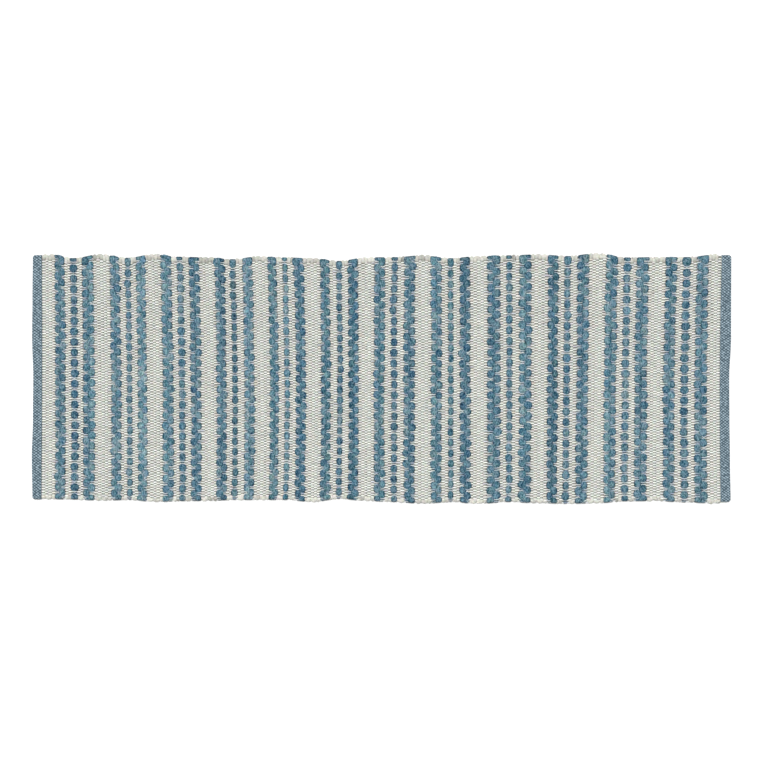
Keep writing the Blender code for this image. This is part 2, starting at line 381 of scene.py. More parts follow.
def rag_stations():
    """Places across the rug, in repeats, where a rag has a ring."""
    inner = (np.arange(LAST_PEBBLE + 1)[:, None] + PEBBLE_STEPS).ravel()
    inner = inner[(inner > 0.2) & (inner < REPEATS - 0.18)]
    return np.concatenate([END_STEPS, inner, REPEATS - END_STEPS[::-1]])


RAG_STATIONS = rag_stations()
print(len(RAG_STATIONS), "rings a rag")

# %% The shape of a rag
FLOOR_GAP = 0.15                 # the lowest that any strand hangs
REPEAT_SIZE = 30                 # millimetres of one repeat, nearly
REACH = np.array([0.0, 0.13, 0.25, 0.37, 0.5])             # repeats away from a pebble's middle
PEBBLE_TOP = np.array([10.6, 10.55, 10.2, 9.4, 6.6])
PEBBLE_LOW = np.array([2.0, 1.8, 1.3, 0.6, 0.2])
PEBBLE_HALF = np.array([1.08, 1.03, 0.84, 0.6, 0.42])      # share of the rag's own half width
PLUMPER, LOWER, ASIDE = 0.07, 0.35, 0.6        # how pebbles differ in width, height and place
SINGLE_HALF = 0.62               # half width of a rag that lies alone, as a share of its pick
PAIRED_HALF, PAIRED_MORE = 0.44, 4.2           # the same beside another rag, and what comes on top
LEANS_IN = {0: 1, 1: -1, 2: 0, 3: 1, 4: -1}    # by column: which way its partner lies
SNAKING = Drift(2.3, 0.9)
CREASES = Drift(0.8, 0.035)
FOLDS, FOLD_DEPTH, FOLD_LIMIT = 3, 0.055, 1.03           # folds round a rag, and how high they rise
RAG_SQUARE = 0.8                 # 1 would give a rag a round section, and less makes it squarer
END_ROUND, END_HEIGHT = 7.5, 4.4         # how long a rag's rounded end is, and how high it ends
END_HALF, ROUNDEST = 0.35, 0.96  # the width left at a rag's end; a roundest of 1 would be a point


def by_pebble(pebble, middle, spread):
    """A random number for each ring, the same all over one pebble."""
    return chance.normal(middle, spread, PEBBLE_DRAWS)[pebble]


def nearest_pebble(v, shed):
    """The pebble that each ring belongs to, and how far the ring is from its middle."""
    phase = 0.5 * shed
    pebble = np.round(v - phase)
    if shed:
        pebble = np.maximum(pebble, 0)
        beyond = v < phase
    else:
        pebble = np.minimum(pebble, LAST_PEBBLE)
        beyond = v > LAST_PEBBLE
    return pebble.astype(int), np.where(beyond, 0, np.abs(v - phase - pebble))


def rag_shape(pick, v):
    """Points of one rag's rings, and the pebble that each ring belongs to."""
    pebble, away = nearest_pebble(v, pick.shed)
    plump = 1 + by_pebble(pebble, 0, PLUMPER)
    pitch = pick.end - pick.start
    width = SINGLE_HALF * pitch if pick.column == 2 else PAIRED_MORE + PAIRED_HALF * pitch
    half = width * np.interp(away, REACH, PEBBLE_HALF) * plump
    top = np.interp(away, REACH, PEBBLE_TOP) - np.abs(by_pebble(pebble, 0, LOWER))
    low = np.interp(away, REACH, PEBBLE_LOW)
    from_edge = np.minimum(v, REPEATS - v) * REPEAT_SIZE
    rounding = np.sqrt(1 - np.clip(1 - from_edge / END_ROUND, 0, ROUNDEST) ** 2)
    middle_z = (top + low) / 2 * rounding + END_HEIGHT * (1 - rounding)
    tall = (top - low) / 2 * rounding
    half = half * (END_HALF + (1 - END_HALF) * rounding)
    x = middle_of(pick) + LEANS_IN[pick.column] * (width - pitch / 2) / 2
    x = x + wander(1, v, SNAKING)[0] + by_pebble(pebble, 0, ASIDE)

    side = sides_of(RAG_SIDES)
    folds = 1 + FOLD_DEPTH * np.cos(side * FOLDS + chance.uniform(0, 6))
    folds = folds + wander(RAG_SIDES, v, CREASES).T
    ring_x = x[:, None] + half[:, None] * squared(np.cos(side), RAG_SQUARE) * folds
    rise = squared(np.sin(side), RAG_SQUARE) * np.minimum(folds, FOLD_LIMIT)
    ring_z = middle_z[:, None] + tall[:, None] * rise
    return place(ring_x, v[:, None], np.maximum(ring_z, FLOOR_GAP)), pebble


# %% The colour of a rag
FADING = np.array([1.7, 1.0, 0.67])     # a paler spot is also greyer: red gains most, blue least
RAG_TONE, PEBBLE_TONE, PEBBLE_HUE = -0.03, 0.10, 0.02
RAG_DRIFT, SIDE_DRIFT, HUE_DRIFT = Drift(3.0, 0.05), Drift(0.5, 0.14), Drift(1.7, 0.03)
CAVITY_HEIGHT = (3.0, 6.5, 8.4, 9.6, 10.4)
CAVITY_SHADE_AND_HIGHLIGHT = (0.3, 0.46, 0.72, 0.96, 1.12)               # painted shade low down and painted highlight on the tops: share of the dye at these heights
DARKEST_RAG, PALEST_RAG = 0.01, 0.9


def rag_colours(pick, v, pebble, height):
    """One rag's dye, faded from pebble to pebble and along the folds, with painted shade in the hollows
    and a painted highlight on the pebble tops.
    """
    tone = by_pebble(pebble, RAG_TONE, PEBBLE_TONE) + wander(1, v, RAG_DRIFT)[0]
    tone = tone[:, None] + wander(RAG_SIDES, v, SIDE_DRIFT).T
    hue = by_pebble(pebble, 0, PEBBLE_HUE)[:, None] + wander(RAG_SIDES, v, HUE_DRIFT).T
    # painted shade and highlight: the lower a point lies the darker it is painted, and the tops are
    # painted paler
    painted_shade_and_highlight = np.interp(height, CAVITY_HEIGHT, CAVITY_SHADE_AND_HIGHLIGHT)
    dye = DYES[GROUP_DYES[pick.group].split()[pick.column]]
    colour = dye * np.exp(tone[..., None] * FADING) * painted_shade_and_highlight[..., None]
    return colour * np.stack([1 - hue, np.ones_like(hue), 1 + hue], axis=-1)


def rag_rings(rags):
    """Rings and colours of the tubes of these picks."""
    rings, colours = [], []
    for pick in rags:
        ring, pebble = rag_shape(pick, RAG_STATIONS)
        rings.append(ring)
        colours.append(rag_colours(pick, RAG_STATIONS, pebble, ring[..., 2]))
    return np.array(rings), np.clip(colours, DARKEST_RAG, PALEST_RAG)


# %% Lay the rags
RAGS_A_PIECE = 20
RAG_PIECES = []
for start in range(0, len(RAGS), RAGS_A_PIECE):
    rings, colours = rag_rings(RAGS[start:start + RAGS_A_PIECE])
    RAG_PIECES.append(strand_piece(f"rag_picks_{len(RAG_PIECES) + 1}", rings, colours))

# %% [markdown]
# ## The warps
# 183 pale cotton warps run the whole length.  Over the pale picks they weave plain, one up and
# one down, so each shows as a short fat dash beside a shadow.  Over a rag the four warps of a gap
# lie squeezed together in two pairs.  Two rings on a pale pick and three on a rag are enough,
# because the smooth shading rounds them.

# %% Places, sizes and colours of the warps
WARP_COUNT = 183
FIRST_WARP = 0.3125                      # repeats from the far edge
TOGETHER = WARPS_PER_REPEAT // 2         # warps that go over or under a rag together
Lie = namedtuple("Lie", "z wide thick")  # a warp's height, half its width and half its thickness
OVER_PALE, UNDER_PALE = Lie(7.4, 2.1, 0.9), Lie(1.3, 1.7, 0.8)
OVER_RAG, UNDER_RAG = Lie(8.2, 0.95, 0.95), Lie(1.0, 1.7, 0.8)
IN_TAPE = Lie(4.0, 1.8, 0.8)
HEIGHT_SPREAD = 0.15                     # how unevenly high the strands lie

PALE = linear(233, 235, 229)
LILAC = linear(196, 200, 210)
# SHADE is painted shade with a blue cast, for the warps that lie squeezed in a rag's gap.
SHADE = linear(137, 158, 180)
TAN = linear(218, 211, 198)

Warps = namedtuple("Warps", "numbers rest middle")
Ring = namedtuple("Ring", "x v z wide thick dye")


def lay_warps(numbers):
    """Each warp's number, its place at rest, and the middle of the four that it goes with."""
    rest = FIRST_WARP + numbers[:, None] / WARPS_PER_REPEAT
    return Warps(numbers, rest, np.round(rest * 2) / 2)


print("the first four warps:", lay_warps(np.arange(TOGETHER)).rest.ravel(), "repeats")


# %% Warps across one rag
RAG_REACH = 0.34                 # of a rag's width, from its middle to the outer two of its rings
PAIR_OFF, PAIR_GAP = 0.058, 0.33         # repeats that a pair keeps off the middle; its gap's share
OPEN, DROP = 1.12, 0.5                   # how open and how much lower the pairs are at a rag's sides
PINCH, PINCH_SPREAD, PINCH_LIMITS = 0.78, 0.2, (0.45, 1.2)
PINCH_SPARE = 8                          # drawn beyond one for each warp; each four uses one
PAIR_SPREAD = 0.01
SHADED = (0.15, 1.0)                     # how much of the painted shade's colour a warp has there


def across_rag(warps, pick):
    """Three rings of each warp: open, squeezed and open again."""
    numbers, rest, middle = warps
    over = ((numbers // TOGETHER + pick.shed) % 2 == 0)[:, None]
    z, wide, thick = (np.where(over, *pair) for pair in zip(OVER_RAG, UNDER_RAG))
    z = z + chance.normal(0, HEIGHT_SPREAD, rest.shape)
    dye = PALE + (SHADE - PALE) * chance.uniform(*SHADED, rest.shape)
    pinch = np.clip(chance.normal(PINCH, PINCH_SPREAD, len(numbers) + PINCH_SPARE), *PINCH_LIMITS)
    pinch = pinch[numbers // TOGETHER - numbers[0] // TOGETHER][:, None]
    aside = rest - middle
    paired = np.sign(aside) * (PAIR_OFF + PAIR_GAP * np.abs(aside))
    rings = []
    for way, opened, drop in ((-1, OPEN, DROP), (0, pinch, 0), (1, OPEN, DROP)):
        x = middle_of(pick) + way * RAG_REACH * (pick.end - pick.start)
        v = middle + paired * opened + chance.normal(0, PAIR_SPREAD, rest.shape)
        rings.append(Ring(x, v, z - drop * over, wide, thick, dye))
    return rings


# %% Warps across one pale pick
RING_REACH, REACH_TO_RAG = 0.27, 0.38    # of a pale pick's width, from its middle to its two rings
UNDER_TURNS = 1.3                        # how much lower the outermost warps lie, under the turns
OPENED = 1.02                            # how much wider apart the warps stand beside a rag
RARE, FAINT = -0.1, 0.15                 # middle and spread of a cast's share; below 0 is none
TAN_CAST, LILAC_CAST = 0.35, 0.4         # its spread beside a rag
ASIDE_SPREAD, WIDE_SPREAD, TONE_SPREAD = 0.007, 0.06, 0.05


def cast(dye, other, spread, shape):
    """The dye, with some of another in it on a few of the warps."""
    return dye + (other - dye) * np.clip(chance.normal(RARE, spread, shape), 0, 1)


def across_pale(warps, i):
    """Two rings of each warp on pick number i, with a cast of tan or lilac here and there."""
    numbers, rest, middle = warps
    pick = PICKS[i]
    beside_rag = any_rag(i - 1, i + 1)
    over = (numbers % 2 == pick.shed)[:, None]
    outermost = ((numbers < 2) | (numbers > WARP_COUNT - 2))[:, None]
    dye = cast(PALE, TAN, TAN_CAST if beside_rag else FAINT, rest.shape)
    dye = cast(dye, LILAC, LILAC_CAST if beside_rag else FAINT, rest.shape)
    z, wide, thick = (np.where(over, *pair) for pair in zip(OVER_PALE, UNDER_PALE))
    z = z + chance.normal(0, HEIGHT_SPREAD, rest.shape) - UNDER_TURNS * outermost
    v = middle + (rest - middle) * (OPENED if beside_rag else 1)
    v = v + chance.normal(0, ASIDE_SPREAD, rest.shape)
    wide = wide * (1 + chance.normal(0, WIDE_SPREAD, rest.shape))
    dye = dye * (1 + chance.normal(0, TONE_SPREAD, rest.shape))
    rings = []
    for way in (-1, 1):
        reach = REACH_TO_RAG if any_rag(i + way) else RING_REACH
        x = middle_of(pick) + way * reach * (pick.end - pick.start)
        rings.append(Ring(x, v, z, wide, thick, dye))
    return rings


# %% Warp tubes
END_INSET, EDGE_INSET = 2.5, 1.5         # from the cloth's end and the tape's edge to rings within
SLACK = Drift(60.0, 0.007)
PALEST_WARP = 0.95


def in_tape(warps, *places):
    """Rings of the warps where a tape holds them flat."""
    return [Ring(x, warps.rest, *IN_TAPE, PALE) for x in places]


def warp_rings(numbers):
    """Rings and colours of the warps with these numbers, from one tape to the other."""
    warps = lay_warps(numbers)
    stops = in_tape(warps, LEFT_END + END_INSET, LEFT_TAPE_EDGE - EDGE_INSET)
    for i, pick in enumerate(PICKS):
        stops += across_rag(warps, pick) if pick.kind == "rag" else across_pale(warps, i)
    stops += in_tape(warps, RIGHT_TAPE_EDGE + EDGE_INSET, RIGHT_END - END_INSET)

    def all_of(field, columns=1):
        """One field of all the rings, counted by warp, ring and column."""
        values = [np.broadcast_to(getattr(stop, field), (len(numbers), columns)) for stop in stops]
        return np.stack(values, axis=1)

    x, v, z, wide, thick = (all_of(field)[..., 0] for field in ("x", "v", "z", "wide", "thick"))
    v = v + wander(len(numbers), x[0], SLACK)
    rings = np.repeat(place(x, v, z)[:, :, None], 4, axis=2)
    rings[:, :, 0, 1] += wide
    rings[:, :, 2, 1] -= wide
    rings[:, :, 1, 2] += thick
    rings[:, :, 3, 2] -= thick
    rings[..., 2] = np.maximum(rings[..., 2], FLOOR_GAP)
    colours = np.repeat(all_of("dye", 3)[:, :, None], 4, axis=2)
    return rings, np.clip(colours, 0, PALEST_WARP)


# %% Lay the warps
WARPS_A_PIECE = 46
WARP_PIECES = []
for start in range(0, WARP_COUNT, WARPS_A_PIECE):
    rings, colours = warp_rings(np.arange(start, min(start + WARPS_A_PIECE, WARP_COUNT)))
    WARP_PIECES.append(strand_piece(f"warps_{len(WARP_PIECES) + 1}", rings, colours))

# %% [markdown]
# ## The pale weft
# Between the warps lie the pale picks, thick soft cotton that shows only as shadowed grain under
# the dashes.  They could be 111 more tubes, but nearly all of each is hidden, so they are one
# ribbed mat with a rib a pick.  It thins out under the rags and inside the tapes.

# %% Ribbed mat
Section = namedtuple("Section", "x top low dye")
RibPoint = namedtuple("RibPoint", "share top low shade")
# The last number, shade, is painted shade: the mat's colour is darkened to 0.7 in the grooves between
# picks.
RIB = (RibPoint(0.06, 4.4, 3.6, 0.7), RibPoint(0.3, 5.5, 2.6, 1),
       RibPoint(0.7, 5.5, 2.6, 1), RibPoint(0.94, 4.4, 3.6, 0.7))
EDGE_STEPS = np.array([0.17, 0.3])       # repeats from a long edge to the mat's outer points
INNER_EDGE, INNER_POINTS = 0.6, 9
INNER = np.linspace(INNER_EDGE, REPEATS - INNER_EDGE, INNER_POINTS)
ACROSS = np.concatenate([EDGE_STEPS, INNER, REPEATS - EDGE_STEPS[::-1]])
# The weft's colours are painted shade: the pale cotton is made far darker than the warps for the shadow
# it lies in between the dashes, and a little tan beside the rags.
SHADOWED_WEFT = linear(161, 165, 157)
SHADOWED_WEFT_TAN = linear(159, 159, 150)
WORN, WORN_DEPTH = Drift(3.0, 0.6), 0.5  # darker patches, and how much darker they are


def held_sections(*places):
    """Sections of the mat where a tape holds it."""
    return [Section(x, 5.2, 2.8, SHADOWED_WEFT) for x in places]


def mat_sections():
    """The mat's sections from left to right: two for each tape, one a rag and four a pale pick."""
    sections = held_sections(LEFT_END + 1, LEFT_TAPE_EDGE)
    for i, pick in enumerate(PICKS):
        if pick.kind == "rag":
            sections.append(Section(middle_of(pick), 5.0, 3.0, SHADOWED_WEFT))
            continue
        dye = SHADOWED_WEFT_TAN if any_rag(i - 2, i + 1) else SHADOWED_WEFT
        for share, top, low, shade in RIB:
            x = pick.start + share * (pick.end - pick.start)
            sections.append(Section(x, top, low, dye * shade))
    return sections + held_sections(RIGHT_TAPE_EDGE, RIGHT_END - 1)


def mat_rings(sections):
    """Rings from the far edge over the top to the near edge and back, and their colours."""
    x, top, low, dye = (np.array(field) for field in zip(*sections))
    upper = place(x[:, None], ACROSS[None], top[:, None])
    lower = place(x[:, None], ACROSS[None, ::-1], low[:, None])
    rings = np.concatenate([upper, lower], axis=1)[None]
    worn = 1 - WORN_DEPTH * np.clip(wander(len(x), ACROSS, WORN), 0, 1)
    worn = np.concatenate([worn, worn[:, ::-1]], axis=1)
    return rings, (dye[:, None] * worn[..., None])[None]


MAT = strand_piece("pale_weft", *mat_rings(mat_sections()))

# %% [markdown]
# ## The turns at the long edges
# Where a pick comes out of the cloth it turns and goes back in as the next one.  Each turn is a
# fat bent tube lying along the edge.  Every second gap is bridged on the far edge, and the gaps
# between on the near edge, as on the real rug.  A pick with no partner ends in a round cap.

# %% Turning tubes
BEND_STEPS = 7
TURN_SIDES = 8
TURN_DEPTH = 3.0                 # how far in from the top of its bend a turn's flanks lie, at most
TURN_SQUARE = 0.7                # 1 would make the bend a round arc, and less makes it squarer
JOG, TUCK_JOG = 0.6, 1.5         # how unevenly turns stand out, and how unevenly they reach in
FATTER, END_FAT = 0.07, 0.9      # how a turn's girth varies, and what is left of it at its ends
Turn = namedtuple("Turn", "half tall middle_z tuck bulge")


def turn_ring(x0, x1, turn, way):
    """One bent tube from x0 round to x1; way is 1 at the far edge and -1 at the near one."""
    middle, reach = (x0 + x1) / 2, (x1 - x0) / 2
    bend = np.linspace(0, pi, BEND_STEPS)
    jog = chance.normal(0, JOG)
    tucked = turn.tuck + chance.normal(0, TUCK_JOG)
    path_x = np.concatenate([[x0], middle - reach * squared(np.cos(bend), TURN_SQUARE), [x1]])
    flank = min(reach, TURN_DEPTH) * (1 - np.sin(bend) ** TURN_SQUARE)
    from_edge = np.concatenate([[tucked], turn.half + jog - turn.bulge + flank, [tucked]])
    inward = np.gradient(np.stack([path_x, -from_edge], axis=-1), axis=0)
    inward /= np.linalg.norm(inward, axis=-1, keepdims=True)
    fat = 1 + FATTER * chance.normal(0, 1, len(path_x))
    fat[[0, -1]] *= END_FAT
    fat = fat[:, None]
    side = sides_of(TURN_SIDES)
    ring_x = path_x[:, None] - turn.half * fat * np.cos(side) * inward[:, 1:2]
    ring_y = from_edge[:, None] - turn.half * fat * np.cos(side) * inward[:, 0:1]
    ring_z = turn.middle_z + turn.tall * np.sin(side) * fat + chance.normal(0, HEIGHT_SPREAD)
    v = ring_y * REPEATS / (2 * HALF_WIDTH)
    return place(ring_x, v if way > 0 else REPEATS - v, np.maximum(ring_z, FLOOR_GAP))


def turn_joints(way):
    """Pairs of picks of one kind that turn into each other at an edge, and the ends left over."""
    pairs = {"ground": [], "rag": []}
    loose = []
    first = 0 if way > 0 else 1
    for i in range(first, len(PICKS) - 1, 2):
        a, b = PICKS[i], PICKS[i + 1]
        if a.kind == b.kind:
            pairs[a.kind].append((middle_of(a), middle_of(b)))
        else:
            loose += [pick for pick in (a, b) if pick.kind == "ground"]
    if first:
        loose += [PICKS[0], PICKS[-1]]
    return pairs, loose


for way, name in ((1, "far"), (-1, "near")):
    pairs, loose = turn_joints(way)
    print(f"{name} edge:", {kind: len(found) for kind, found in pairs.items()}, len(loose), "loose")


# %% Lay the turns
END_REACH = 1.6                  # a lone end is a short turn that reaches this far to both sides
RAG_TUCK = 15.0                  # how far in from the edge a rag's turn reaches
TONE_LIMITS = (-0.4, 0.1)        # how much darker or paler one turn may be
RING_TONE, RING_DARKER = 1.08, 0.15      # tone of a turn's palest ring, and spread of darker ones


def tinted(rings, dye, spread):
    """The dye with a tone of its own for each strand, and a little one for each ring."""
    tone = 1 + np.clip(chance.normal(0, spread, (len(rings), 1, 1, 1)), *TONE_LIMITS)
    tone = tone * (RING_TONE - np.abs(chance.normal(0, RING_DARKER, (*rings.shape[:2], 1, 1))))
    return np.broadcast_to(np.clip(dye * tone, 0, PALEST_WARP), rings.shape)


pale_turns, rag_turns = [], []
for way, pale_tuck, bulge in ((1, 15.5, 1.0), (-1, 12.0, 0.0)):
    pairs, loose = turn_joints(way)
    ends = [(middle_of(pick) - END_REACH, middle_of(pick) + END_REACH) for pick in loose]
    for turns, joints, turn in (
        (pale_turns, pairs["ground"], Turn(5.6, 3.8, 4.8, pale_tuck, bulge)),
        (pale_turns, ends, Turn(4.0, 3.6, 4.7, pale_tuck, bulge)),
        (rag_turns, pairs["rag"], Turn(5.6, 4.1, 4.9, RAG_TUCK, bulge)),
    ):
        turns += [turn_ring(x0, x1, turn, way) for x0, x1 in joints]
pale_turns, rag_turns = np.array(pale_turns), np.array(rag_turns)
pale_tints = tinted(pale_turns, linear(196, 196, 187), spread=0.17)
PALE_TURNS = strand_piece("pale_turns", pale_turns, pale_tints)
RAG_TURNS = strand_piece("rag_turns", rag_turns, tinted(rag_turns, DYES["deep"], spread=0.2))

# %% [markdown]
# ## The folded tapes
# A cotton twill tape of about 56 mm is folded over each cut end.  It is made the way it is on the
# real rug: a flat strip first, a grid with its own cloth map, which is then wrapped round the
# end.  Solidify gives the cloth its 1.2 mm.  The two layers come together at the tape's ends.

# %% Fold a strip
TAPE_ROWS, TAPE_COLUMNS = 120, 20
TAPE_RADIUS = (TAPE_HEIGHT - TAPE_THICK) / 2
CLOSED, CLOSING = 0.62, 3.5      # how far the layers come together at the ends, and over what length
BUNCHED, BUNCH_SHAPE = 0.25, 0.96        # how strongly the rows crowd at the ends, and how suddenly
RIPPLE, RIPPLES_ALONG, RIPPLES_ACROSS = 0.1, 61, 9


def wrap(fold, edge_x, u, v):
    """Where a point of the flat strip lies once folded; u and v run from 0 to 1."""
    away = 1 if edge_x > 0 else -1
    steps = len(fold.line) - 1
    inset = TAPE_THICK / 2
    near, far = fold.near_end + inset, fold.far_end - inset
    y = near + (far - near) * v
    knots = [(near + (far - near) * i / steps, x) for i, x in enumerate(fold.line)]
    from_end = np.minimum(y - near, far - y)
    corner = TAPE_CORNER - inset
    run = np.clip(from_end, 0, corner)
    tip = through(knots, y) - away * (inset + corner - np.sqrt(corner ** 2 - (corner - run) ** 2))
    lip = edge_x + slant(edge_x, y / HALF_WIDTH)
    flat = np.abs(tip - lip) - TAPE_RADIUS
    half_turn = pi * TAPE_RADIUS
    length = 2 * flat + half_turn
    s = (u if away > 0 else 1 - u) * length
    turn = np.clip((s - flat) / TAPE_RADIUS, 0, pi)
    straight = np.where(s < flat, s, np.where(s > flat + half_turn, length - s, flat))
    x = lip + away * (straight + TAPE_RADIUS * np.sin(turn))
    pinch = 1 - CLOSED * np.clip(1 - from_end / CLOSING, 0, 1) ** 2
    z = TAPE_HEIGHT / 2 + TAPE_RADIUS * np.cos(turn) * pinch
    z = z + RIPPLE * np.sin(v * RIPPLES_ALONG) * np.sin(u * RIPPLES_ACROSS)
    return np.stack([x + SHIFT_X, y + SHIFT_Y, z], axis=-1), float(length.mean())


def bunch(v):
    """Rows of the strip, nearer to each other at its ends."""
    even = v - 0.5
    crowded = np.sin(even * pi * BUNCH_SHAPE) / np.sin(pi * BUNCH_SHAPE / 2) / 2
    return 0.5 + BUNCHED * crowded + (1 - BUNCHED) * even


# %% A strip as a piece
def folded_tape(name, fold, edge_x):
    """A flat strip, wrapped, thickened and smoothed, and its flat size in metres."""
    bpy.ops.object.select_all(action="DESELECT")
    bpy.ops.mesh.primitive_grid_add(x_subdivisions=TAPE_COLUMNS, y_subdivisions=TAPE_ROWS, size=1)
    tape = bpy.context.active_object
    tape.name = tape.data.name = name
    flat = np.zeros(len(tape.data.vertices) * 3)
    tape.data.vertices.foreach_get("co", flat)
    u, v = flat[0::3] + 0.5, bunch(flat[1::3] + 0.5)
    folded, width = wrap(fold, edge_x, u, v)
    length = fold.far_end - fold.near_end - TAPE_THICK
    tape.data.vertices.foreach_set("co", (folded * MM).ravel())
    cloth = tape.data.uv_layers[0]
    cloth.name = "Cloth"
    for loop, corner in zip(tape.data.loops, cloth.uv):
        corner.vector = (u[loop.vertex_index] * width * MM, v[loop.vertex_index] * length * MM)
    thick = tape.modifiers.new("thickness", "SOLIDIFY")
    thick.thickness = TAPE_THICK * MM
    thick.offset = 0
    bpy.ops.object.modifier_apply(modifier=thick.name)
    bpy.ops.object.mode_set(mode="EDIT")
    bpy.ops.mesh.select_all(action="SELECT")
    bpy.ops.mesh.normals_make_consistent(inside=False)
    bpy.ops.object.mode_set(mode="OBJECT")
    bpy.ops.object.shade_smooth()
    tape.select_set(False)
    print(f"{name}: a strip of {width:.1f} x {length:.1f} mm, {len(tape.data.polygons)} faces")
    return tape, (width * MM, length * MM)


LEFT_TAPE, LEFT_FLAT = folded_tape("tape_left", LEFT_FOLD, LEFT_TAPE_EDGE)
RIGHT_TAPE, RIGHT_FLAT = folded_tape("tape_right", RIGHT_FOLD, RIGHT_TAPE_EDGE)

# %% [markdown]
# ## Finishes
# Cotton is matt.  What makes it look like cotton is small: the twist of the ply, loose fibres and
# a colour that is never quite even.  Those are built once, as node groups, and each finish uses
# them with its own numbers.  Colours come from the `dye` that each strand carries.

# %% Node helpers
def add(tree, kind, inputs=None, **properties):
    """Place a node; each of its inputs takes another node's output, or a value of its own."""
    made = tree.nodes.new(kind)
    for name, value in properties.items():
        setattr(made, name, value)
    for name, value in (inputs or {}).items():
        if isinstance(value, bpy.types.NodeSocket):
            tree.links.new(value, made.inputs[name])
        else:
            made.inputs[name].default_value = value
    return made


def maths(tree, operation, *values):
    """A Math node of sockets or numbers."""
    return add(tree, "ShaderNodeMath", dict(enumerate(values)), operation=operation).outputs[0]


def vectors(tree, operation, *values):
    """A Vector Math node of sockets or triples."""
    return add(tree, "ShaderNodeVectorMath", dict(enumerate(values)), operation=operation).outputs[0]


def scaled(tree, vector, factor):
    """A vector made longer or shorter."""
    return add(tree, "ShaderNodeVectorMath", {0: vector, "Scale": factor}, operation="SCALE").outputs[0]


def noise(tree, where, scale, detail=2.0):
    """Outputs of a noise texture: its value is number 0, and it has a "Color" too."""
    return add(tree, "ShaderNodeTexNoise", {"Vector": where, "Scale": scale, "Detail": detail}).outputs


def new_group(name, inputs, outputs):
    """A node group with sockets of these kinds, and the ends that its own nodes are linked to."""
    group = bpy.data.node_groups.new(name, "ShaderNodeTree")
    for way, sockets in (("INPUT", inputs), ("OUTPUT", outputs)):
        for socket, kind in sockets.items():
            group.interface.new_socket(socket, in_out=way, socket_type=f"NodeSocket{kind}")
    return group, group.nodes.new("NodeGroupInput").outputs, group.nodes.new("NodeGroupOutput").inputs


# %% Group: the look of spun cotton
CAST_SIZE, CAST = 9.0, 0.25      # millimetres of one cast of colour, and how strong it is
DRIFT_SIZE = 30.0                # millimetres of one paler or darker stretch
PLY_LEAN = 1.1                   # how steeply the twist runs round the strand
# The ply term is painted shade: the colour follows the twist's bump and is darker in its grooves.
BASE_TONE, PLY_PAINTED_SHADE, FIBRE_TONE, DRIFT_TONE = 0.825, 0.07, 0.16, 0.12
FIBRE_HEIGHT = 0.7               # height of the fibres over the twist's, for the bump


def cotton_group():
    """Twist, fibres and slow drift, as a tone for the colour and a height for the bump; the twist's tone
    is painted shade in its grooves.
    """
    group, start, end = new_group(
        "spun_cotton",
        {"Twist Pitch": "Float", "Fibre Size": "Float", "Map": "Vector", "Place": "Vector"},
        {"Tone": "Float", "Height": "Float", "Tint": "Color"},
    )
    along, across, _ = add(group, "ShaderNodeSeparateXYZ", {0: start["Map"]}).outputs
    lean = maths(group, "MULTIPLY_ADD", across, PLY_LEAN, along)
    turns = maths(group, "DIVIDE", lean, start["Twist Pitch"])
    ply = maths(group, "SINE", maths(group, "MULTIPLY", turns, 2 * pi))
    ply = maths(group, "MULTIPLY_ADD", ply, 0.5, 0.5)
    fine = scaled(group, start["Place"], maths(group, "DIVIDE", 1.0, start["Fibre Size"]))
    fibre = noise(group, fine, 1.0, 3)[0]
    drift = noise(group, start["Place"], 1 / (DRIFT_SIZE * MM))[0]
    casts = noise(group, start["Place"], 1 / (CAST_SIZE * MM), 1)["Color"]
    tint = vectors(group, "MULTIPLY_ADD", casts, [CAST] * 3, [1 - CAST / 2] * 3)

    tone = maths(group, "MULTIPLY_ADD", ply, PLY_PAINTED_SHADE, BASE_TONE)
    tone = maths(group, "MULTIPLY_ADD", fibre, FIBRE_TONE, tone)
    tone = maths(group, "MULTIPLY_ADD", drift, DRIFT_TONE, tone)
    height = maths(group, "MULTIPLY_ADD", fibre, FIBRE_HEIGHT, ply)
    for name, source in (("Tone", tone), ("Height", height), ("Tint", tint)):
        group.links.new(source, end[name])
    return group


COTTON = cotton_group()
print("group:", COTTON.name, len(COTTON.nodes), "nodes")

# %% Group: worn denim
Patches = namedtuple("Patches", "sizes detail contrast")     # sizes in millimetres
STREAKS = Patches((2.6, 5.5, 5.5), 2, 0.13)
BLOTCHES = Patches((4.2, 4.2, 4.2), 1, 0.15)
HUE_PATCHES = Patches((9, 9, 9), 1, 0.2)
STREAK_TONE, BLOTCH_TONE = 0.95, 0.75
UNWORN_TONE, LEAST_TONE = 0.15, 0.35     # before streaks and blotches are added, and after


def denim_group():
    """Streaks of the folded strip and faded blotches, as a tone, and a slow drift of the hue."""
    group, start, end = new_group("worn_denim", {"Place": "Vector"}, {"Tone": "Float", "Hue": "Float"})

    def spread(patches):
        """Noise with patches of these sizes, spread to run from 0 to 1."""
        sizes = [1 / (size * MM) for size in patches.sizes]
        squashed = vectors(group, "MULTIPLY", start["Place"], sizes)
        return add(group, "ShaderNodeMapRange", {
            "Value": noise(group, squashed, 1.0, patches.detail)[0],
            "From Min": 0.5 - patches.contrast,
            "From Max": 0.5 + patches.contrast,
        }).outputs[0]

    tone = maths(group, "MULTIPLY_ADD", spread(STREAKS), STREAK_TONE, UNWORN_TONE)
    tone = maths(group, "MULTIPLY_ADD", spread(BLOTCHES), BLOTCH_TONE, tone)
    group.links.new(maths(group, "MAXIMUM", tone, LEAST_TONE), end["Tone"])
    group.links.new(spread(HUE_PATCHES), end["Hue"])
    return group


DENIM = denim_group()
print("group:", DENIM.name, len(DENIM.nodes), "nodes")


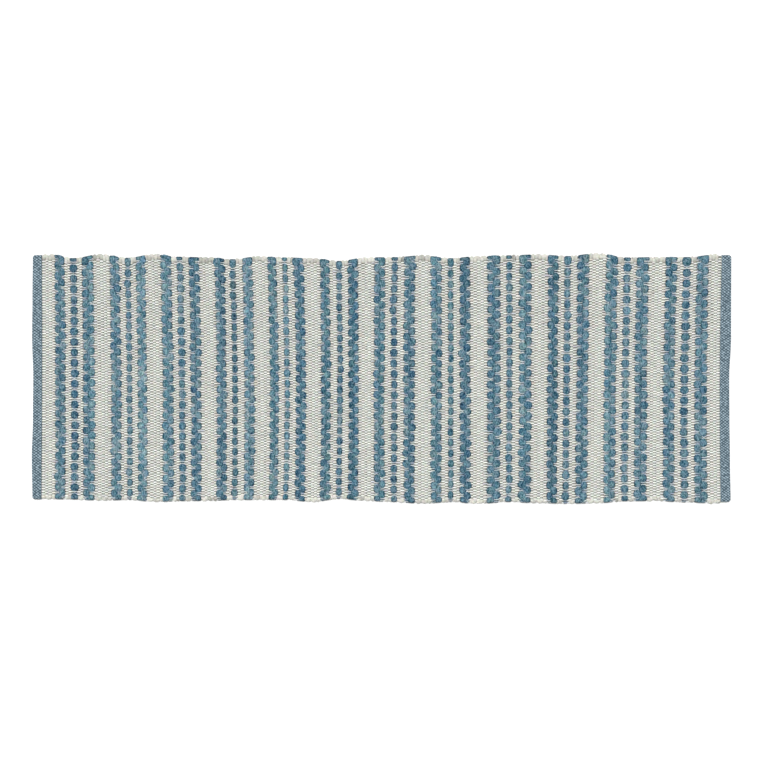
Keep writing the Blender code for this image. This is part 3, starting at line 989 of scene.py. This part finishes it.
# %% Cloth shader
def new_finish(name):
    """An empty finish, its node tree, and the place on the piece as its first node puts it out."""
    finish = bpy.data.materials.new(name)
    finish.use_nodes = True
    return finish, finish.node_tree, add(finish.node_tree, "ShaderNodeTexCoord").outputs["Object"]


def cloth_shader(tree, colour, height, strength, distance, settings):
    """Feed the finish's shader with a colour and a bump, and set its plain numbers."""
    shader = tree.nodes["Principled BSDF"]
    bump = {"Height": height, "Strength": strength, "Distance": distance}
    tree.links.new(colour, shader.inputs["Base Color"])
    tree.links.new(add(tree, "ShaderNodeBump", bump).outputs[0], shader.inputs["Normal"])
    for name, value in settings.items():
        shader.inputs[name].default_value = value


# %% Finishes of the strands
DYED, BARE = 0.6, 0.075          # how far a worn spot lightens the dye, and how much bare cotton shows
HUES = ((0.88, 1.03, 0.99, 1), (1.09, 0.99, 1.01, 1))


def worn_colour(tree, colour, denim):
    """The colour faded where the denim is worn, with its hue drifting between two casts."""
    dyed = maths(tree, "MULTIPLY_ADD", denim["Tone"], DYED, 1 - DYED)
    bare = maths(tree, "MULTIPLY", maths(tree, "SUBTRACT", denim["Tone"], 1.0), BARE)
    faded = vectors(tree, "MULTIPLY_ADD", colour, dyed, bare)
    hues = add(tree, "ShaderNodeValToRGB", {0: denim["Hue"]})
    for element, hue in zip(hues.color_ramp.elements, HUES):
        element.color = hue
    return vectors(tree, "MULTIPLY", faded, hues.outputs[0])


def strand_finish(name, pitch, fibre, bump, sheen, worn):
    """A matt cotton whose colour is the strand's own dye; worn adds the denim's streaks."""
    finish, tree, where = new_finish(name)
    cotton = add(tree, "ShaderNodeGroup", {
        "Map": add(tree, "ShaderNodeUVMap", uv_map="Yarn").outputs[0],
        "Place": where,
        "Twist Pitch": pitch * MM,
        "Fibre Size": fibre * MM,
    }, node_tree=COTTON).outputs
    dye = add(tree, "ShaderNodeAttribute", attribute_name="dye").outputs["Color"]
    colour = vectors(tree, "MULTIPLY", scaled(tree, dye, cotton["Tone"]), cotton["Tint"])
    height = cotton["Height"]
    if worn:
        denim = add(tree, "ShaderNodeGroup", {"Place": where}, node_tree=DENIM).outputs
        colour = worn_colour(tree, colour, denim)
        height = maths(tree, "ADD", height, denim["Tone"])
    cloth_shader(tree, colour, height, 0.6, bump * MM, {
        "Roughness": 0.9, "Specular IOR Level": 0.2, "Sheen Weight": sheen, "Sheen Roughness": 0.5,
    })
    return finish


PALE_COTTON = strand_finish("pale_cotton", pitch=3.0, fibre=0.6, bump=0.2, sheen=0.1, worn=False)
RAG_COTTON = strand_finish("blue_rag", pitch=1.9, fibre=1.1, bump=0.4, sheen=0.15, worn=True)
print("finishes:", PALE_COTTON.name, RAG_COTTON.name)

# %% Finish of the twill tape
RIB_ALONG, RIB_ACROSS = 7.8, 10.6        # millimetres from rib to rib, along and across the tape
SWAYS, SWAY = 30, 6.0                    # sways of the ribs in a metre, and millimetres of each
FADES, CROSS = 9, 0.5                    # stretches of clear cross ribs in a metre, and how clear
FLECK, FLECKED = 7.0, 1.4                # millimetres of a light or dark fleck, and how strong it is
RIBBED, LEVEL = 0.3, 0.46                # how strong the ribs are, and the mask's middle
TWILL_BUMP = 0.4                         # millimetres
TWILL_DYES = ((0.1, linear(58, 76, 87)), (0.5, linear(87, 105, 115)), (0.9, linear(156, 175, 186)))


def twill_finish():
    """Steep ribs with broken light flecks, in the tape's own cloth map."""
    finish, tree, where = new_finish("slate_twill")
    cloth = add(tree, "ShaderNodeUVMap", uv_map="Cloth").outputs[0]
    over, down, _ = add(tree, "ShaderNodeSeparateXYZ", {0: cloth}).outputs
    sway = noise(tree, where, SWAYS)[0]
    along = maths(tree, "DIVIDE", maths(tree, "MULTIPLY_ADD", sway, SWAY * MM, down), RIB_ALONG * MM)
    across = maths(tree, "DIVIDE", over, RIB_ACROSS * MM)

    def ribs(direction):
        """Waves in one slanting direction."""
        turns = maths(tree, direction, along, across)
        return maths(tree, "SINE", maths(tree, "MULTIPLY", turns, 2 * pi))

    clear = maths(tree, "MULTIPLY", noise(tree, where, FADES)[0], CROSS)
    flecks = maths(tree, "SUBTRACT", noise(tree, where, 1 / (FLECK * MM), 1)[0], 0.5)
    mask = maths(tree, "MULTIPLY_ADD", ribs("ADD"), RIBBED, LEVEL)
    mask = maths(tree, "MULTIPLY_ADD", ribs("SUBTRACT"), clear, mask)
    mask = maths(tree, "MULTIPLY_ADD", flecks, FLECKED, mask)
    ramp = add(tree, "ShaderNodeValToRGB", {0: mask})
    ramp.color_ramp.elements.new(0.5)
    for element, (position, dye) in zip(ramp.color_ramp.elements, TWILL_DYES):
        element.position = position
        element.color = (*dye, 1)
    cloth_shader(tree, ramp.outputs[0], mask, 0.8, TWILL_BUMP * MM, {
        "Roughness": 0.85, "Specular IOR Level": 0.25, "Sheen Weight": 0.1,
    })
    return finish


TWILL = twill_finish()
print("finish:", TWILL.name)

# %% Dress the pieces
for finish, pieces in (
    (PALE_COTTON, (*WARP_PIECES, MAT, PALE_TURNS)),
    (RAG_COTTON, (*RAG_PIECES, RAG_TURNS)),
    (TWILL, (LEFT_TAPE, RIGHT_TAPE)),
):
    for piece in pieces:
        piece.data.materials.append(finish)
    print(finish.name, "on", [piece.name for piece in pieces])

# %% [markdown]
# ## What each piece is
# The mat stands for the woven solid, with the strands that make up its weave, and each tape is a folded
# strip that stands for its own solid.  The solids are hidden and all pieces ride on root.

# %% Ride and replace
STRANDS = [*WARP_PIECES, *RAG_PIECES, PALE_TURNS, RAG_TURNS]
for piece in (MAT, LEFT_TAPE, RIGHT_TAPE, *STRANDS):
    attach(piece, "root")
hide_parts("rug_body")
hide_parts("binding_left")
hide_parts("binding_right")
print(3 + len(STRANDS), "pieces ride on root")

# %% [markdown]
# ## Floor, light and camera
# The rug was photographed from straight above on white, in soft even light that leaves hardly a
# shadow.  A white floor, a pale sky and one broad sun a little from the far side do the same.

# %% Floor
FLOOR_SIZE, FLOOR_DROP = 60, 0.0002      # metres; the floor lies this much below the rug
bpy.ops.object.select_all(action="DESELECT")
bpy.ops.mesh.primitive_plane_add(size=FLOOR_SIZE, location=(0, 0, -FLOOR_DROP))
floor = bpy.context.active_object
floor.name = "floor"
paper = bpy.data.materials.new("white_floor")
paper.use_nodes = True
for name, value in (("Base Color", (0.9, 0.9, 0.9, 1)), ("Roughness", 0.9), ("Specular IOR Level", 0.1)):
    paper.node_tree.nodes["Principled BSDF"].inputs[name].default_value = value
floor.data.materials.append(paper)
print("floor:", FLOOR_SIZE, "m wide")

# %% Light
SKY, SUN = 0.44, 3.0
sky = bpy.data.worlds.new("studio")
bpy.context.scene.world = sky
sky.use_nodes = True
sky.node_tree.nodes["Background"].inputs["Color"].default_value = (1.0, 1.0, 1.0, 1)
sky.node_tree.nodes["Background"].inputs["Strength"].default_value = SKY
lamp = bpy.data.lights.new("broad_sun", "SUN")
lamp.energy = SUN
lamp.angle = radians(45)
sun = bpy.data.objects.new("broad_sun", lamp)
sun.rotation_euler = (radians(-17), radians(-6), 0)
bpy.context.scene.collection.objects.link(sun)
bpy.context.scene.view_settings.view_transform = "Standard"
print("light from the sky and the sun:", SKY, SUN)

# %% Camera
PHOTO_WIDE, PIXEL = 760, 2.861           # the photo's pixels, and the millimetres of each
CAMERA_HEIGHT = 7.0                      # metres
SENSOR = 36.0
eye = bpy.data.cameras.new("photo_camera")
eye.sensor_width = SENSOR
eye.lens = SENSOR * CAMERA_HEIGHT / (PHOTO_WIDE * PIXEL * MM)
camera = bpy.data.objects.new("photo_camera", eye)
camera.location = (-0.0044, -0.0045, CAMERA_HEIGHT)
bpy.context.scene.collection.objects.link(camera)
bpy.context.scene.camera = camera
print(f"lens: {eye.lens:.1f} mm")
